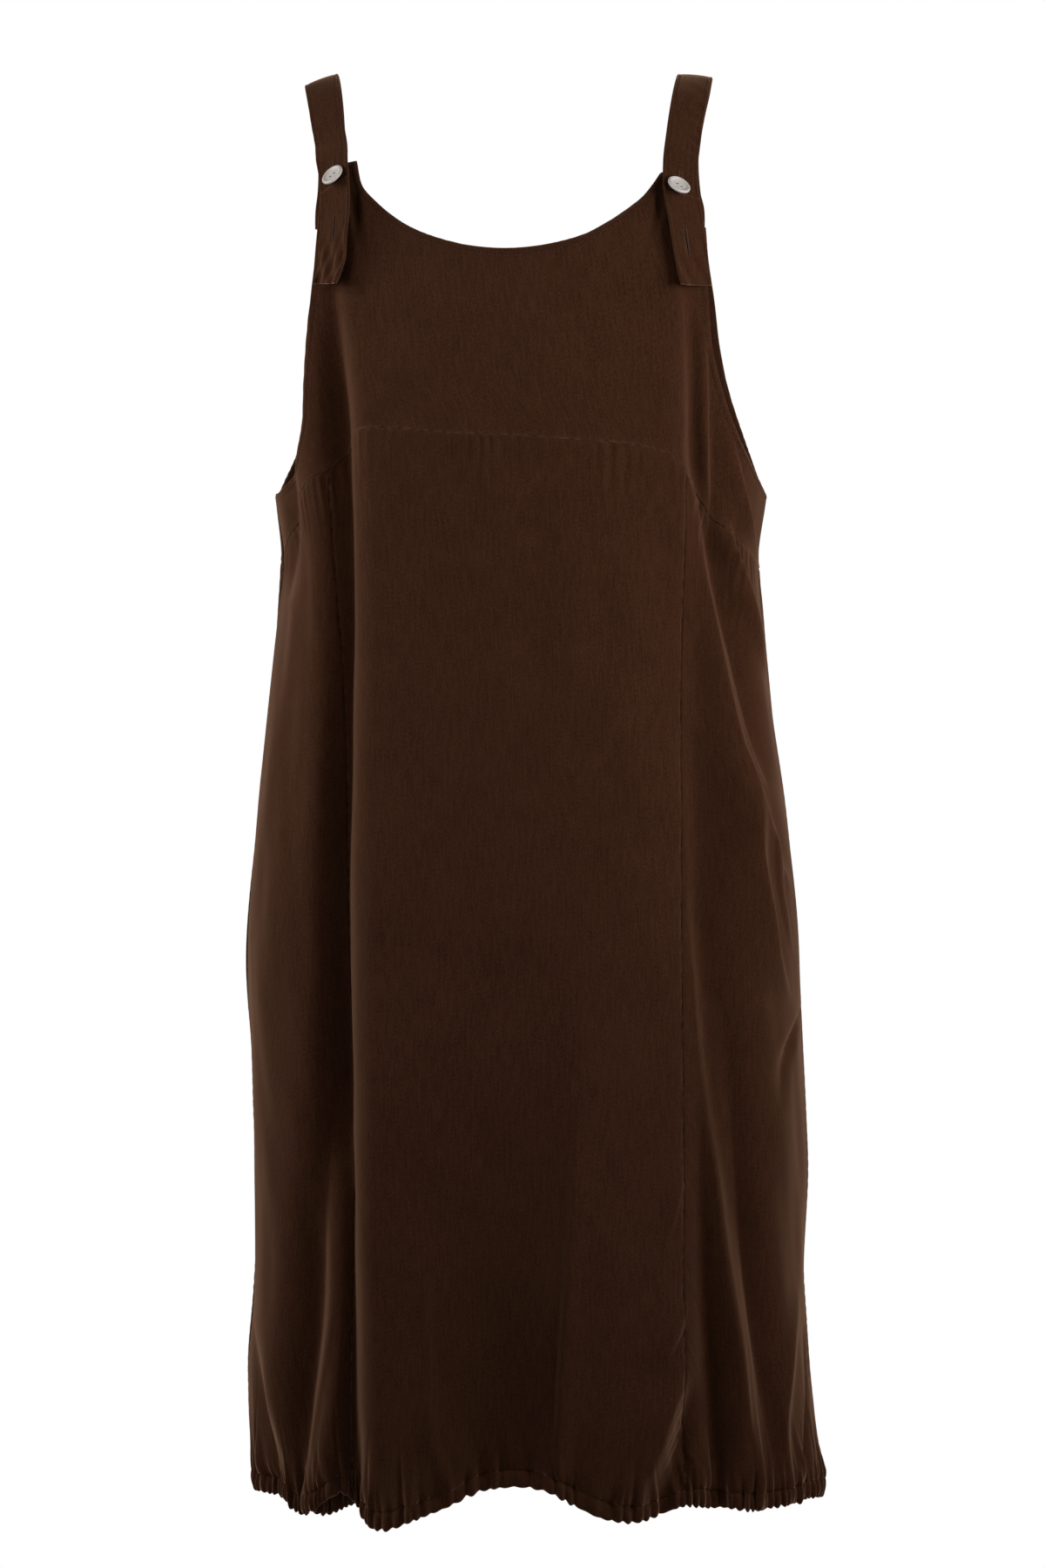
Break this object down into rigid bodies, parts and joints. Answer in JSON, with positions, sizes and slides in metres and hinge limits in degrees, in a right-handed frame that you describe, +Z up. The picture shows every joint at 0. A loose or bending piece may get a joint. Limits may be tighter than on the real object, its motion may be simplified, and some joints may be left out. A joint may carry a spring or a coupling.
{
  "type": "pinafore dress",
  "caption": "Sleeveless pinafore dress with a scooped bib, buttoned shoulder straps, long front panel seams and a gathered bubble hem, standing open as it is worn.",
  "frame": {"origin": "midway between the two shoulder straps, level with the underside of their tops, where the wearer's shoulders carry them", "axes": "+Z up; -Y out of the front of the dress, so +Y points to its back; +X to the right when the dress is looked at from the front"},
  "size_m": [0.4487, 0.3026, 1.1359],
  "materials": {
    "cloth": "soft brushed needlecord, matt",
    "button": "satin"
  },
  "bodies": {
    "root": {"bodice_front": "cloth", "bodice_back": "cloth", "skirt_front": "cloth", "skirt_side_left": "cloth", "skirt_side_right": "cloth", "skirt_back_left": "cloth", "skirt_back_right": "cloth", "hem_casing": "cloth", "strap_left": "cloth", "strap_right": "cloth", "button_left": "button", "button_right": "button"}
  },
  "joints": []
}
